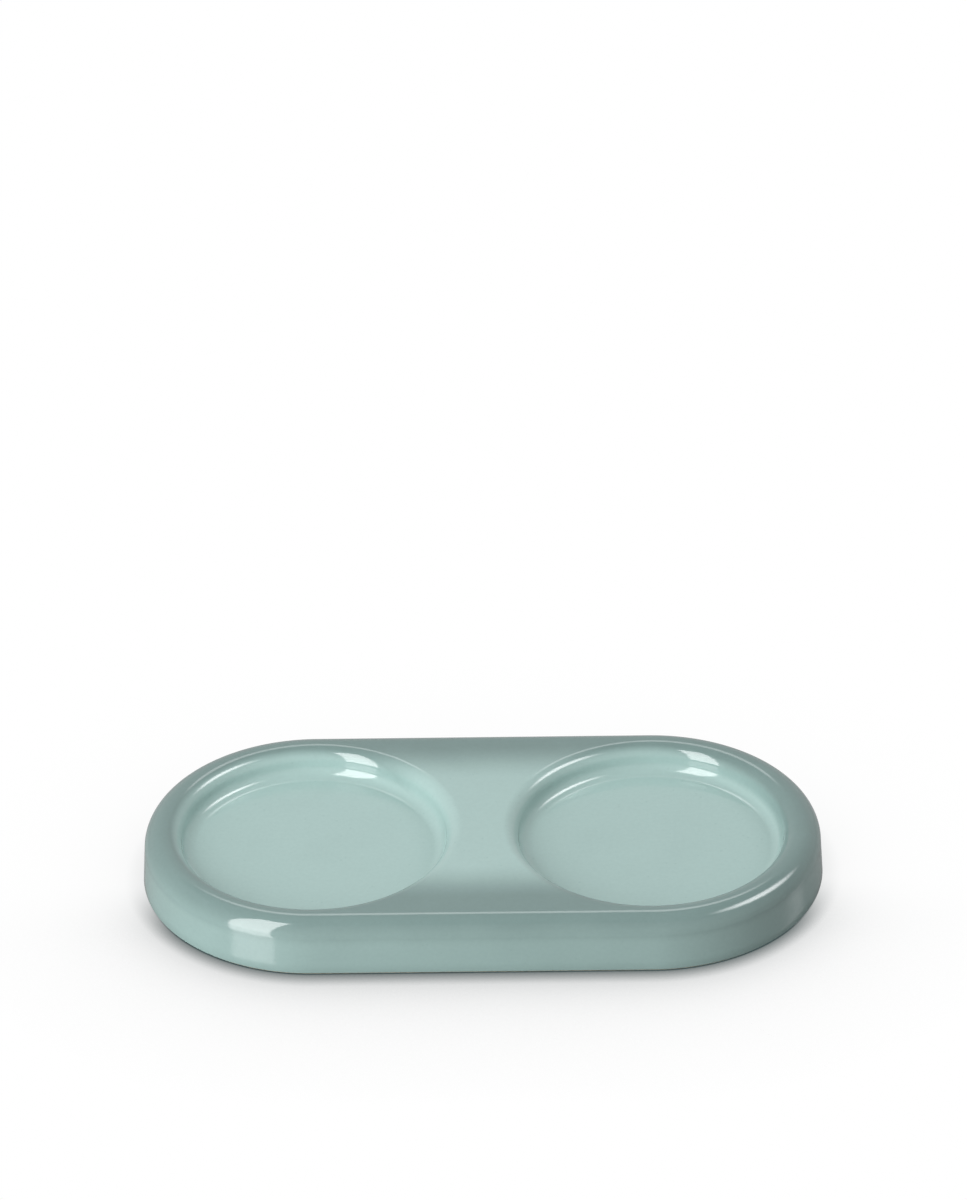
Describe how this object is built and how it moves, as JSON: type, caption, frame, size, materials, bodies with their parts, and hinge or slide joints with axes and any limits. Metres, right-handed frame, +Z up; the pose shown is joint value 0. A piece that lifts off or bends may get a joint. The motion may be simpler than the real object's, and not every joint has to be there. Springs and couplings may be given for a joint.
{
  "type": "pepper mill tray",
  "caption": "Stadium-shaped glazed stoneware tray with round flat-floored wells that hold a pepper mill and a salt mill side by side on the table.",
  "frame": {"origin": "middle of the foot, on the table", "axes": "+X along the tray, -Y towards its front, +Z up"},
  "size_m": [0.1856, 0.0936, 0.0162],
  "materials": {
    "bare_clay": "bare fired stoneware, matte",
    "sea_green_glaze": "glossy sea-green glaze, paler in the middle than at the rim",
    "underside_glaze": "glossy sea-green glaze"
  },
  "bodies": {
    "root": {"stoneware_body": "bare_clay", "glaze_coat": "sea_green_glaze", "underside_glaze": "underside_glaze"}
  },
  "joints": []
}
